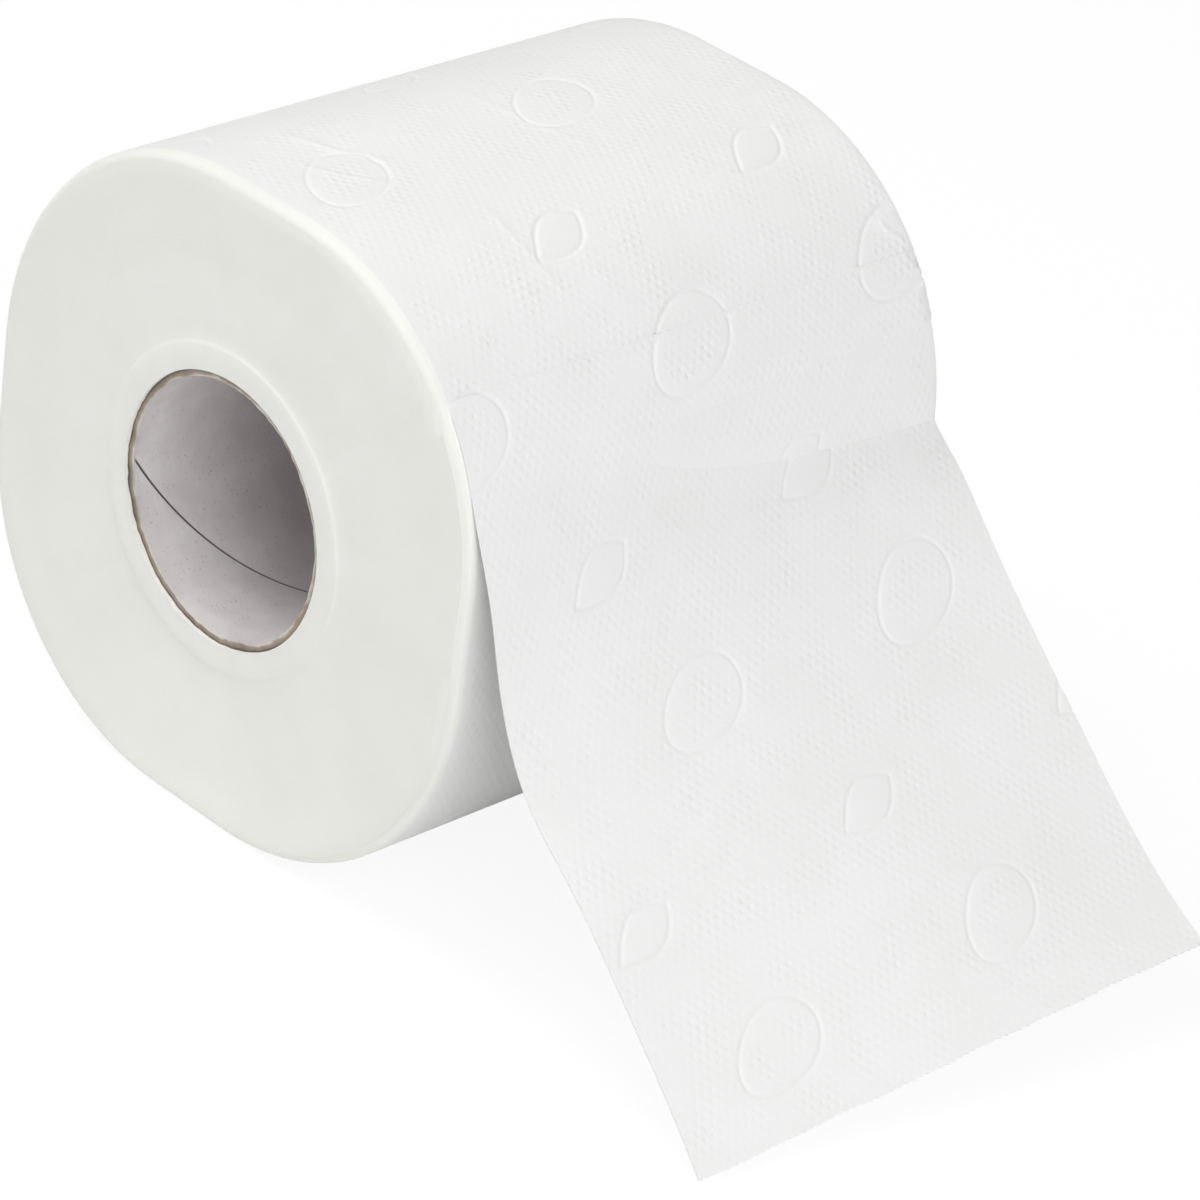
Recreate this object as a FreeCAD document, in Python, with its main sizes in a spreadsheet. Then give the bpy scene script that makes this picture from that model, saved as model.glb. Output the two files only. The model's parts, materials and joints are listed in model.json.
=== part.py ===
"""Toilet paper roll on its cardboard core, with the loose end hanging off one side.

The frame is centred in the bore: Y runs along the core, X towards the loose end and Z up.
The paper is wound into a soft rounded square, because rolls are squeezed against each other in
a pack, and it rests on the flat that this leaves at the bottom. The loose end hangs a little
twisted, so that only the front corner of its torn edge touches the same surface.
"""
import FreeCAD, Part
import math
import os
import Sketcher
from FreeCAD import Vector

doc = FreeCAD.newDocument("toilet_paper_roll")

# Driving dimensions, in millimetres and degrees
SIZES = {
    "core_outside": 45.0,       # diameter of the cardboard tube
    "core_wall": 1.0,
    "glue_line": 0.05,          # between the tube and the first turn
    "roll_width": 100.0,        # width of the paper web, and length of the core
    "half_across": 54.5,        # from the axis to each flat of the soft square
    "corner_upper_right": 44.0,
    "corner_upper_left": 48.0,
    "corner_lower_left": 44.0,
    "corner_lower_right": 48.0,
    "rim_round": 2.0,           # soft outer rim of both ends
    "hub_wrap": 4.5,            # first tight turns, pushed along the axis as one band
    "hub_shift": 0.6,
    "line_start": 29.5,         # radius where the visible line between turns begins
    "line_pitch": 5.0,          # its growth in one turn
    "line_width": 0.5,
    "line_depth": 0.4,
    "sheet_thick": 0.8,         # soft embossed plies of the loose end
    "sheet_lap": 0.05,          # start of the loose end below the outer turn
    "front_leave": 22.0,        # angle above the level where the loose end's front edge leaves the turns
    "back_leave": 26.0,
    "front_straight": 25.0,     # its first straight stretch
    "back_straight": 18.0,
    "front_tip_lift": 0.0,      # height of its torn edge's front corner above the surface
    "back_tip_lift": 11.5,
    "out_bend_radius": 56.0,
    "out_bend_angle": 28.0,
}
LINE_TURNS = 4
# Three bevels touch the rim's round: sizes of the middle one and of the outer two, as shares of its radius
HALF_BEVEL_TURN = math.radians(90 / 4 / 2)
FIRST_BEVEL = 2 - math.sqrt(2)
SECOND_BEVEL = FIRST_BEVEL / math.sqrt(2) - math.tan(HALF_BEVEL_TURN)
SAME_LEVEL = 0.01               # edges this near to a level lie on it

sheet = doc.addObject("Spreadsheet::Sheet", "sizes")
for row, (name, value) in enumerate(SIZES.items(), start=1):
    sheet.set(f"A{row}", name)
    sheet.set(f"B{row}", str(value))
    sheet.setAlias(f"B{row}", name)
doc.recompute()


def size(name):
    """The present value of one cell of the sheet."""
    return float(getattr(sheet, name))


def cells(expression):
    """The expression with each of its size names pointing at the sheet."""
    words = expression.replace("(", "( ").replace(")", " )").split()
    return " ".join(f"sizes.{word}" if word in SIZES else word for word in words)


def drive(sketch, name, constraint, expression):
    """Add one dimension to the sketch and bind it to the sheet."""
    index = sketch.addConstraint(constraint)
    sketch.renameConstraint(index, name)
    sketch.setExpression(f"Constraints.{name}", cells(expression))


def add_body(label):
    """An empty body with this label."""
    body = doc.addObject("PartDesign::Body", label)
    body.Label = label
    return body


def add_sketch(body, name, front_offset=None):
    """A sketch across the axis, with X to the right and Z up, at the middle or nearer by front_offset."""
    sketch = body.newObject("Sketcher::SketchObject", name)
    plane = next(item for item in body.Origin.OriginFeatures if item.Role == "XZ_Plane")
    sketch.AttachmentSupport = [(plane, "")]
    sketch.MapMode = "FlatFace"
    if front_offset:
        sketch.setExpression("AttachmentOffset.Base.z", cells(front_offset))
    return sketch


def add_pad(body, name, sketch, length, side="Symmetric", reverse=False):
    """Thicken a sketch along the axis."""
    pad = body.newObject("PartDesign::Pad", name)
    pad.Profile = sketch
    pad.SideType = side
    pad.Reversed = reverse
    pad.setExpression("Length", cells(length))
    doc.recompute()
    return pad


def add_pocket(body, name, sketch, length, side="One side", reverse=False):
    """Cut a sketch into the solid along the axis, and make sure that it took material away."""
    before = body.Shape.Volume
    pocket = body.newObject("PartDesign::Pocket", name)
    pocket.Profile = sketch
    pocket.SideType = side
    pocket.Reversed = reverse
    pocket.setExpression("Length", cells(length))
    doc.recompute()
    if body.Shape.Volume >= before:
        raise RuntimeError(f"{name} cuts nothing")
    return pocket


def circle(sketch, name, expression, start):
    """A circle on the axis, driven by its radius."""
    index = sketch.addGeometry(Part.Circle(Vector(0, 0, 0), Vector(0, 0, 1), start))
    sketch.addConstraint(Sketcher.Constraint("Coincident", index, 3, -1, 1))
    drive(sketch, name, Sketcher.Constraint("Radius", index, start), expression)
    return index


def arc(centre, radius, first, last):
    """An anticlockwise arc between two angles in degrees."""
    ring = Part.Circle(Vector(*centre, 0), Vector(0, 0, 1), radius)
    return Part.ArcOfCircle(ring, math.radians(first), math.radians(last))


def line(first, last):
    """A straight line between two points of the sketch."""
    return Part.LineSegment(Vector(*first, 0), Vector(*last, 0))


CORNERS = {
    "corner_upper_right": (1, 1, 0),
    "corner_upper_left": (-1, 1, 90),
    "corner_lower_left": (-1, -1, 180),
    "corner_lower_right": (1, -1, 270),
}


def soft_square(sketch):
    """The outline of the turns: four flats, with a corner arc of its own radius between each two."""
    half = size("half_across")
    arcs = []
    spots = []
    for name, (right, up, first) in CORNERS.items():
        reach = half - size(name)
        index = sketch.addGeometry(arc((right * reach, up * reach), size(name), first, first + 90))
        drive(sketch, name, Sketcher.Constraint("Radius", index, size(name)), name)
        arcs.append(index)
        spots.append((right * reach, up * reach))
    upper_right, upper_left, lower_left, lower_right = spots
    flats = [
        ("top", (upper_right[0], half), (upper_left[0], half), "Horizontal", "DistanceY"),
        ("left", (-half, upper_left[1]), (-half, lower_left[1]), "Vertical", "DistanceX"),
        ("bottom", (lower_left[0], -half), (lower_right[0], -half), "Horizontal", "DistanceY"),
        ("right", (half, lower_right[1]), (half, upper_right[1]), "Vertical", "DistanceX"),
    ]
    for place, (name, first, last, lay, distance) in enumerate(flats):
        index = sketch.addGeometry(line(first, last))
        sketch.addConstraint(Sketcher.Constraint("Tangent", arcs[place], 2, index, 1))
        sketch.addConstraint(Sketcher.Constraint("Tangent", index, 2, arcs[(place + 1) % 4], 1))
        sketch.addConstraint(Sketcher.Constraint(lay, index))
        ends = (-1, 1, index, 1) if name in ("top", "right") else (index, 1, -1, 1)
        drive(sketch, name, Sketcher.Constraint(distance, *ends, half), "half_across")


def turn_line(sketch):
    """One line of the winding, as a thin band of half circles whose centres take turns beside the axis."""
    quarter = size("line_pitch") / 4
    centres = []
    for name, side in (("centre_left", -1), ("centre_right", 1)):
        point = sketch.addGeometry(Part.Point(Vector(side * quarter, 0, 0)), True)
        sketch.addConstraint(Sketcher.Constraint("PointOnObject", point, 1, -1))
        ends = (-1, 1, point, 1) if side > 0 else (point, 1, -1, 1)
        drive(sketch, name, Sketcher.Constraint("DistanceX", *ends, quarter), "line_pitch / 4")
        centres.append(point)
    edges = {}
    for name, extra in (("inner", 0.0), ("outer", size("line_width"))):
        radius = size("line_start") + extra
        before = None
        for half_turn in range(2 * LINE_TURNS):
            below = half_turn % 2 == 0
            side = -quarter if below else quarter
            first = 180 if below else 0
            index = sketch.addGeometry(arc((side, 0), radius, first, first + 180))
            sketch.addConstraint(Sketcher.Constraint("Coincident", index, 3, centres[half_turn % 2], 1))
            if before is None:
                edges[name] = index
                sketch.addConstraint(Sketcher.Constraint("PointOnObject", index, 2, -1))
            else:
                sketch.addConstraint(Sketcher.Constraint("Coincident", index, 2, before, 1))
            sketch.addConstraint(Sketcher.Constraint("PointOnObject", index, 1, -1))
            before = index
            radius += 2 * quarter
        edges[name + "_last"] = before
    start = size("line_start")
    drive(sketch, "start", Sketcher.Constraint("Radius", edges["inner"], start), "line_start")
    ends = (edges["inner"], 2, edges["outer"], 2)
    drive(sketch, "band", Sketcher.Constraint("DistanceX", *ends, size("line_width")), "line_width")
    begin = start - quarter
    finish = begin + LINE_TURNS * 4 * quarter
    for first, last, end in (("inner", "outer", 2), ("inner_last", "outer_last", 1)):
        place = begin if end == 2 else finish
        cap = sketch.addGeometry(line((place, 0), (place + size("line_width"), 0)))
        sketch.addConstraint(Sketcher.Constraint("Coincident", cap, 1, edges[first], end))
        sketch.addConstraint(Sketcher.Constraint("Coincident", cap, 2, edges[last], end))


def loose_end(sketch, edge_name):
    """The hanging sheet's section at one edge: straight off the outer turn, bent out, then straight."""
    leave = math.radians(size(f"{edge_name}_leave"))
    bend = math.radians(size("out_bend_angle"))
    radius = size("out_bend_radius")
    thick = size("sheet_thick")
    reach = size("half_across") - size("corner_upper_right")
    start = size("corner_upper_right") - size("sheet_lap")
    tip_height = size(f"{edge_name}_tip_lift") - size("half_across")

    def outward(angle):
        return Vector(math.cos(angle), math.sin(angle), 0)

    def downward(angle):
        return Vector(math.sin(angle), -math.cos(angle), 0)

    centre = Vector(reach, reach, 0)
    top = centre + outward(leave) * start
    low = top + downward(leave) * size(f"{edge_name}_straight")
    bend_centre = low + outward(leave) * radius
    flat = bend_centre - outward(leave + bend) * radius
    drop = flat.y - thick * math.sin(leave + bend) - tip_height
    tip = flat + downward(leave + bend) * (drop / math.cos(leave + bend))
    under_leave = outward(leave) * thick
    under_flat = outward(leave + bend) * thick
    first = math.degrees(leave) + 180
    last = first + size("out_bend_angle")

    radial = sketch.addGeometry(line(centre[:2], top[:2]), True)
    ends = (-1, 1, radial, 1)
    corner_reach = "half_across - corner_upper_right"
    drive(sketch, "corner_x", Sketcher.Constraint("DistanceX", *ends, reach), corner_reach)
    drive(sketch, "corner_z", Sketcher.Constraint("DistanceY", *ends, reach), corner_reach)
    drive(sketch, "start", Sketcher.Constraint("Distance", radial, start), "corner_upper_right - sheet_lap")
    drive(sketch, "leave", Sketcher.Constraint("Angle", radial, leave), f"{edge_name}_leave * 1deg")

    face = sketch.addGeometry(line(top[:2], low[:2]))
    bent = sketch.addGeometry(arc(bend_centre[:2], radius, first, last))
    hang = sketch.addGeometry(line(flat[:2], tip[:2]))
    torn = sketch.addGeometry(line(tip[:2], (tip - under_flat)[:2]))
    hang_back = sketch.addGeometry(line((tip - under_flat)[:2], (flat - under_flat)[:2]))
    bent_back = sketch.addGeometry(arc(bend_centre[:2], radius + thick, first, last))
    back = sketch.addGeometry(line((low - under_leave)[:2], (top - under_leave)[:2]))
    root = sketch.addGeometry(line((top - under_leave)[:2], top[:2]))

    join = [
        ("Coincident", face, 1, radial, 2),
        ("Perpendicular", face, radial),
        ("Tangent", face, 2, bent, 1),
        ("Tangent", bent, 2, hang, 1),
        ("Coincident", hang, 2, torn, 1),
        ("Perpendicular", hang, torn),
        ("Coincident", torn, 2, hang_back, 1),
        ("Tangent", hang_back, 2, bent_back, 2),
        ("Coincident", bent_back, 3, bent, 3),
        ("Tangent", bent_back, 1, back, 1),
        ("Coincident", back, 2, root, 1),
        ("Coincident", root, 2, face, 1),
        ("Perpendicular", root, face),
    ]
    for words in join:
        sketch.addConstraint(Sketcher.Constraint(*words))
    straight = size(f"{edge_name}_straight")
    drive(sketch, "straight", Sketcher.Constraint("Distance", face, straight), f"{edge_name}_straight")
    drive(sketch, "bend", Sketcher.Constraint("Radius", bent, radius), "out_bend_radius")
    drive(sketch, "swing", Sketcher.Constraint("Angle", bent, bend), "out_bend_angle * 1deg")
    drive(sketch, "thick", Sketcher.Constraint("Distance", root, thick), "sheet_thick")
    height = Sketcher.Constraint("DistanceY", torn, 2, -1, 1, -tip_height)
    drive(sketch, "tip", height, f"half_across - {edge_name}_tip_lift")


def rim_edges(shape, inset):
    """Names of the edges that run round both ends, this far in from them and outside the bore."""
    level = size("roll_width") / 2 - inset
    clear = size("core_outside") / 2 + size("hub_wrap")
    names = []
    for number, edge in enumerate(shape.Edges, start=1):
        middle = edge.valueAt((edge.FirstParameter + edge.LastParameter) / 2)
        heights = [point.Y for point in edge.Vertexes] + [middle.y]
        on_level = all(abs(abs(height) - level) < SAME_LEVEL for height in heights)
        if on_level and math.hypot(middle.x, middle.z) > clear:
            names.append(f"Edge{number}")
    return names


def soften_rims(body, turns):
    """Three bevels round the outer rim of each end."""
    first = body.newObject("PartDesign::Chamfer", "rim_bevels")
    first.Base = (turns, rim_edges(turns.Shape, 0))
    first.setExpression("Size", cells(f"rim_round * {FIRST_BEVEL:.5f}"))
    doc.recompute()
    inset = size("rim_round") * FIRST_BEVEL
    second = body.newObject("PartDesign::Chamfer", "soft_rims")
    second.Base = (first, rim_edges(first.Shape, 0) + rim_edges(first.Shape, inset))
    second.setExpression("Size", cells(f"rim_round * {SECOND_BEVEL:.5f}"))
    doc.recompute()


def make_core():
    """The cardboard tube."""
    body = add_body("core_tube")
    outside = size("core_outside") / 2
    sketch = add_sketch(body, "core_section")
    circle(sketch, "outside", "core_outside / 2", outside)
    circle(sketch, "inside", "core_outside / 2 - core_wall", outside - size("core_wall"))
    add_pad(body, "core_length", sketch, "roll_width")
    return body


def make_paper():
    """All the turns as one soft square solid round the core, and the loose end on it."""
    body = add_body("wound_paper")
    bore = size("core_outside") / 2 + size("glue_line")

    outline = add_sketch(body, "turns_section")
    soft_square(outline)
    circle(outline, "bore", "core_outside / 2 + glue_line", bore)
    turns = add_pad(body, "turns", outline, "roll_width")

    soften_rims(body, turns)

    sections = []
    for edge_name, offset in (("front", "roll_width / 2"), ("back", "- roll_width / 2")):
        section = add_sketch(body, f"{edge_name}_sheet_section", offset)
        loose_end(section, edge_name)
        sections.append(section)
    hanging = body.newObject("PartDesign::AdditiveLoft", "loose_sheet")
    hanging.Profile = sections[0]
    hanging.Sections = sections[1:]
    hanging.Ruled = True
    doc.recompute()

    for end, offset, back in (("front", "roll_width / 2", False), ("back", "- roll_width / 2", True)):
        winding = add_sketch(body, f"{end}_line_section", offset)
        turn_line(winding)
        add_pocket(body, f"{end}_line", winding, "line_depth", reverse=back)

    for end, offset in (("front", "roll_width / 2"), ("back", "- roll_width / 2")):
        hub = add_sketch(body, f"{end}_hub_section", offset)
        circle(hub, "bore", "core_outside / 2 + glue_line", bore)
        circle(hub, "wrap", "core_outside / 2 + hub_wrap", size("core_outside") / 2 + size("hub_wrap"))
        if end == "front":
            add_pad(body, "front_hub", hub, "hub_shift", side="One side")
        else:
            add_pocket(body, "back_hub", hub, "hub_shift", reverse=True)
    return body


def check(parts):
    """Stop if any object failed, or if a part is not one valid solid."""
    for item in doc.Objects:
        if any(word in item.State for word in ("Invalid", "Error")):
            raise RuntimeError(f"{item.Label} failed: {item.State}")
    for part in parts:
        shape = part.Shape
        if shape.isNull() or not shape.isValid() or len(shape.Solids) != 1:
            raise RuntimeError(f"{part.Label} is not one valid solid")


parts = [make_core(), make_paper()]
doc.recompute()
check(parts)

os.makedirs("parts", exist_ok=True)
for part in parts:
    part.Shape.exportStep(f"parts/{part.Label}.step")
    box = part.Shape.BoundBox
    print(
        f"{part.Label}: {part.Shape.Volume / 1000:.1f} cm3,"
        f" X {box.XMin:.1f} to {box.XMax:.1f}, Y {box.YMin:.1f} to {box.YMax:.1f},"
        f" Z {box.ZMin:.1f} to {box.ZMax:.1f}"
    )
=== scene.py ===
"""A soft roll of embossed toilet paper on its cardboard core, with the loose end hanging off one side.

Lengths are in millimetres until a piece is put in place. The paper is made flat first, as the mill makes
it: a web with embossed ovals, leaves and perforations. Then it is wound round the roll or hung off it.
"""

import json
import math

import bmesh
import bpy
import numpy as np
from mathutils import Matrix, Vector


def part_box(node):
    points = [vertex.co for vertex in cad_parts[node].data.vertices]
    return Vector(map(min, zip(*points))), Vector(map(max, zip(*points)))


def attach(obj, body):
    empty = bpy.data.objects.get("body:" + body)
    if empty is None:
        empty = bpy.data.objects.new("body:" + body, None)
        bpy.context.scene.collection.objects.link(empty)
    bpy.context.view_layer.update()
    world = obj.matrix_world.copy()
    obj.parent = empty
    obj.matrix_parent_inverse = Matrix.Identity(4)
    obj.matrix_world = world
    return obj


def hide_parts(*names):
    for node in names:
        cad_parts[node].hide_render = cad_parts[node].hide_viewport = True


MM = 0.001

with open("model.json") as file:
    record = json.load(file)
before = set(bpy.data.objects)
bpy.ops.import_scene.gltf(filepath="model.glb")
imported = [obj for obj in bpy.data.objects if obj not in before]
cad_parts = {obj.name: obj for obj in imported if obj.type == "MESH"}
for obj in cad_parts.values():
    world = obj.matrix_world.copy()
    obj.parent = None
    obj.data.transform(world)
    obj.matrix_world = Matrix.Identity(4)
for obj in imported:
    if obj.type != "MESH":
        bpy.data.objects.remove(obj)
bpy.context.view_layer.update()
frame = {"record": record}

# Sizes that the solids give
core_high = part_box("core_tube")[1]
paper_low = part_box("wound_paper")[0]
bore_mount = next(mount for mount in frame["record"]["mounts"] if mount["name"] == "core_bore")
CORE_OUTSIDE = core_high.x / MM
CORE_INSIDE = bore_mount["dims"]["r_mm"]
HALF_WIDTH = core_high.y / MM
HALF_ACROSS = -paper_low.z / MM
# The hub stands out less than its solid does, as in the photograph
HUB_SHIFT = 0.5 * (-paper_low.y / MM - HALF_WIDTH)

# The roll's soft square outline: radius of each corner, anticlockwise from the upper right
CORNER_RADII = (44.0, 48.0, 44.0, 48.0)
HUB_RADIUS = 27.0
BORE_GAP = 0.05

# The rims: a soft round in front, and a thin lip of outer turns that have slipped beyond the back end
FRONT_ROUND = 1.6
LIP_ROUND = 0.5
LIP_REACH = 1.2
FRONT_BEND = HALF_WIDTH - FRONT_ROUND
LIP_BEND = HALF_WIDTH + LIP_REACH - LIP_ROUND

# The web of paper: distances along it start at the torn edge. It lies WEB_SHIFT further back than the core,
# LAYER_DROP is the step from one layer down to the next, and EDGE_DROP the step at the front rim
SHEET_LENGTH = 121.5
SHEET_WIDTH = 100.0
PLY = 0.28
WEB_SHIFT = 1.4
LAYER_DROP = 0.32
EDGE_DROP = 0.08
WEB_AT_RIGHT_FLAT = 90.5
JOIN_STEP = 0.2

# Embossing
LATTICE_START = (65.5, -15.0)
LATTICE_ROUND = (52.4, 13.2)
LATTICE_ACROSS = (4.0, 47.0)
LEAF_STEP = (24.0, -13.0)
OVAL_LONG = 9.2
OVAL_SHORT = 6.2
LEAF_LONG = 7.0
LEAF_SHORT = 3.6
MOTIF_TILT = math.radians(59)
GROOVE_DEPTH = 0.20
GROOVE_HALF = 0.31
PUFF = 0.05
PERFORATION_DEPTH = 0.05
DOT_ROWS = 1.44
DOT_TURN = math.radians(-5.7)
DOTS_IN_OVALS = 0.7
SLIT_PITCH = 2.4
PERFORATION_HALF = 0.3

# How far round an outline its embossing is worked out, and where the mesh has to be fine
OUTLINE_REACH = 3.0
FINE_BY_OUTLINE = 1.2
FINE_BY_PERFORATION = 0.7
FINE_BY_CREASE = 0.02
FINE_CUTS = 4

# The loose end's two edges: distance from where each leaves the roll, and its heading below the level
NEAR_HEADINGS = ((0, 65), (12, 62), (25, 70), (40, 60), (55, 32), (75, 40), (106, 48))
FAR_HEADINGS = ((0, 82), (10, 86), (20, 32), (30, 44), (45, 38), (75, 42), (109, 25))
NEAR_LEAVE = math.radians(24)
FAR_LEAVE = math.radians(26)
TIP_DRIFT = 4.2

# Distances from the torn edge where its free waves start to fade, where it is free no more, where its
# edges start to bend over the rims, and where it lies on the roll for good
WAVES_FADE_FROM = 60
FREE_LENGTH = 106
RIMS_FROM = 84
ON_ROLL_FROM = 112

# Core
SEAM_START = math.radians(90)
SEAM_RISE = 0.663
SEAM_HALF = 0.11
SEAM_SHOULDER = 0.22

# Colours, as stops of a ramp where a place is given with them
TISSUE_TINTS = ((0.3, (0.866, 0.864, 0.854)), (0.7, (0.890, 0.888, 0.882)))
# Painted warm shade on the end faces: a yellower, slightly darker tone than the rest of the tissue
END_PAINTED_WARM_SHADE = (0.977, 0.977, 0.946)
BOARD_MOTTLE = ((0.30, (0.660, 0.620, 0.622)), (0.70, (0.745, 0.712, 0.718)))
BOARD_FLECKS = ((0.24, (0.66, 0.64, 0.63)), (0.36, (1.0, 1.0, 1.0)))
SEAM_COLOUR = (0.10, 0.085, 0.075)
# A cut end across the wall, from inside out: the near-black last stop is a painted shadow line in the gap
# against the paper
CUT_PLIES_AND_GAP_SHADOW = (
    (0.05, (0.72, 0.68, 0.62)),
    (0.30, (0.40, 0.32, 0.23)),
    (0.62, (0.26, 0.20, 0.145)),
    (0.95, (0.10, 0.075, 0.055)),
)

# Camera, as fitted to the outlines in the photograph
CAMERA_AIM = (26.85, 8.82, -20.47)
CAMERA_DISTANCE = 874.9
CAMERA_AZIMUTH = math.radians(42.326)
CAMERA_ELEVATION = math.radians(29.45)
CAMERA_ROLL = math.radians(7.987)
CAMERA_LENS = 165.0
CAMERA_SENSOR = 36.0

# Stage: share of the floor's own white that the camera sees, and each lamp's direction, share and colour
FLOOR_GLOW = 0.88
FLOOR_WHITE = 1.03
FLOOR_SHADE = 0.90
WORLD_STRENGTH = 0.12
LAMPS = (
    ("key_from_right", (0.80, -0.30, 0.50), 0.61, (0.985, 0.995, 1.0)),
    ("key_from_left", (-0.60, -0.27, 0.76), 0.56, (1.0, 0.998, 0.985)),
    ("fill_from_above", (0.0, -0.35, 0.93), 0.20, (1.0, 1.0, 1.0)),
    ("fill_from_front", (-0.10, -0.68, 0.72), 0.08, (1.0, 1.0, 0.985)),
)
LAMP_DISTANCE = 1.3
LAMP_WIDTH = 0.9


# Handling of pieces

def let_go():
    """Leave edit mode and select nothing."""
    if bpy.context.object and bpy.context.object.mode == "EDIT":
        bpy.ops.object.mode_set(mode="OBJECT")
    bpy.ops.object.select_all(action="DESELECT")


def take(piece):
    """Select this piece alone."""
    let_go()
    piece.select_set(True)
    bpy.context.view_layer.objects.active = piece


def places_of(piece):
    """The vertices of a piece, one row each."""
    places = np.empty(len(piece.data.vertices) * 3)
    piece.data.vertices.foreach_get("co", places)
    return places.reshape(-1, 3)


def move_to(piece, places):
    """Give the vertices new places."""
    piece.data.vertices.foreach_set("co", np.ascontiguousarray(places, dtype=float).ravel())
    piece.data.update()


def note_on(piece, name, values):
    """Keep one number for each vertex, for the material to read."""
    layer = piece.data.attributes.new(name, "FLOAT", "POINT")
    layer.data.foreach_set("value", np.ascontiguousarray(values, dtype=float))


def note_place_on(piece, name, places):
    """Keep one place for each vertex, for the material to read."""
    layer = piece.data.attributes.new(name, "FLOAT_VECTOR", "POINT")
    layer.data.foreach_set("vector", np.ascontiguousarray(places, dtype=float).ravel())


def flat_grid(name, columns, rows):
    """A flat grid whose lines lie at these places."""
    let_go()
    bpy.ops.mesh.primitive_grid_add(x_subdivisions=len(columns) - 1, y_subdivisions=len(rows) - 1, size=1)
    piece = bpy.context.object
    piece.name = name
    piece.data.name = name
    places = places_of(piece)
    column = np.rint((places[:, 0] + 0.5) * (len(columns) - 1)).astype(int)
    row = np.rint((places[:, 1] + 0.5) * (len(rows) - 1)).astype(int)
    places[:, 0] = np.asarray(columns)[column]
    places[:, 1] = np.asarray(rows)[row]
    move_to(piece, places)
    return piece


def cut_finer(piece, wanted, cuts):
    """Subdivide the faces whose middles are wanted."""
    take(piece)
    bpy.ops.object.mode_set(mode="EDIT")
    bpy.ops.mesh.select_mode(type="FACE")
    bpy.ops.mesh.select_all(action="DESELECT")
    mesh = bmesh.from_edit_mesh(piece.data)
    mesh.faces.ensure_lookup_table()
    middles = np.array([face.calc_center_median() for face in mesh.faces])
    for index in np.nonzero(wanted(middles))[0]:
        mesh.faces[index].select_set(True)
    bmesh.update_edit_mesh(piece.data)
    bpy.ops.mesh.subdivide(number_cuts=cuts)
    bpy.ops.object.mode_set(mode="OBJECT")


def close_seams(piece, within):
    """Merge the rows of vertices that meet where a sheet closes on itself."""
    take(piece)
    bpy.ops.object.mode_set(mode="EDIT")
    bpy.ops.mesh.select_all(action="SELECT")
    bpy.ops.mesh.remove_doubles(threshold=within)
    bpy.ops.mesh.normals_make_consistent(inside=False)
    bpy.ops.object.mode_set(mode="OBJECT")


def smooth(piece, angle):
    """Smooth shading except over sharper edges."""
    take(piece)
    bpy.ops.object.shade_smooth_by_angle(angle=math.radians(angle))
    let_go()


def ease(values, low, high):
    """0 below low, 1 above high, with a soft passage between."""
    share = np.clip((values - low) / (high - low), 0, 1)
    return share * share * (3 - 2 * share)


# The roll's outline

def outline_spans():
    """Arcs and flats of the soft square: (length, kind, centre or start, radius or direction, angle)."""
    spans = []
    signs = ((1, 1), (-1, 1), (-1, -1), (1, -1))
    for corner, radius in enumerate(CORNER_RADII):
        reach = HALF_ACROSS - radius
        right, up = signs[corner]
        centre = np.array((right * reach, up * reach))
        first = corner * math.pi / 2
        spans.append((radius * math.pi / 2, "arc", centre, radius, first))
        following = CORNER_RADII[(corner + 1) % 4]
        turn = first + math.pi / 2
        outward = np.array((math.cos(turn), math.sin(turn)))
        onward = np.array((-math.sin(turn), math.cos(turn)))
        length = 2 * HALF_ACROSS - radius - following
        spans.append((length, "flat", centre + outward * radius, onward, turn))
    return spans


SPANS = outline_spans()
ROUND = sum(span[0] for span in SPANS)


def outline_at(along):
    """Place (x, z) and outward direction on the outline, at distances from the top of the right flat."""
    along = np.mod(np.asarray(along, float), ROUND)
    place = np.zeros((len(along), 2))
    outward = np.zeros((len(along), 2))
    begin = 0.0
    for length, kind, start, size, first in SPANS:
        here = (along >= begin) & (along <= begin + length)
        run = along[here] - begin
        if kind == "arc":
            angle = first + run / size
            direction = np.stack((np.cos(angle), np.sin(angle)), 1)
            place[here] = start + direction * size
        else:
            angle = np.full(len(run), first)
            direction = np.stack((np.cos(angle), np.sin(angle)), 1)
            place[here] = start + run[:, None] * size
        outward[here] = direction
        begin += length
    return place, outward


# Embossing of the web

def oval_outline(scale):
    """An oval pebble that is broader at one end."""
    turn = np.linspace(0, 2 * math.pi, 64, endpoint=False)
    wide = 1 + 0.13 * np.cos(turn)
    return np.stack((OVAL_LONG * np.cos(turn), OVAL_SHORT * wide * np.sin(turn)), 1) * scale


def leaf_outline(scale):
    """A leaf with a point at both ends, fuller at one."""
    run = np.linspace(-1, 1, 24)
    half = LEAF_SHORT * (1 - run ** 2) * (1 + 0.22 * run)
    upper = np.stack((LEAF_LONG * run, half), 1)
    lower = np.stack((LEAF_LONG * run[::-1], -half[::-1]), 1)
    return np.concatenate((upper, lower[1:-1])) * scale


def motifs(first, last):
    """Each motif whose middle lies between two distances along the web: (kind, outline on the web)."""
    draw = np.random.default_rng(7)
    found = []
    for step_round in range(-3, 12):
        for step_across in range(-6, 7):
            base = np.array(LATTICE_START) + step_round * np.array(LATTICE_ROUND)
            base = base + step_across * np.array(LATTICE_ACROSS)
            for kind, shift in (("oval", (0, 0)), ("leaf", LEAF_STEP)):
                scale = draw.uniform(0.94, 1.06)
                tilt = MOTIF_TILT + draw.uniform(-0.16, 0.16)
                middle = base + np.array(shift) + draw.uniform(-0.8, 0.8, 2)
                if not (first <= middle[0] <= last and abs(middle[1]) < SHEET_WIDTH / 2 + OVAL_LONG):
                    continue
                outline = oval_outline(scale) if kind == "oval" else leaf_outline(scale)
                turn = np.array(((math.cos(tilt), math.sin(tilt)), (-math.sin(tilt), math.cos(tilt))))
                found.append((kind, outline @ turn + middle))
    return found


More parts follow.
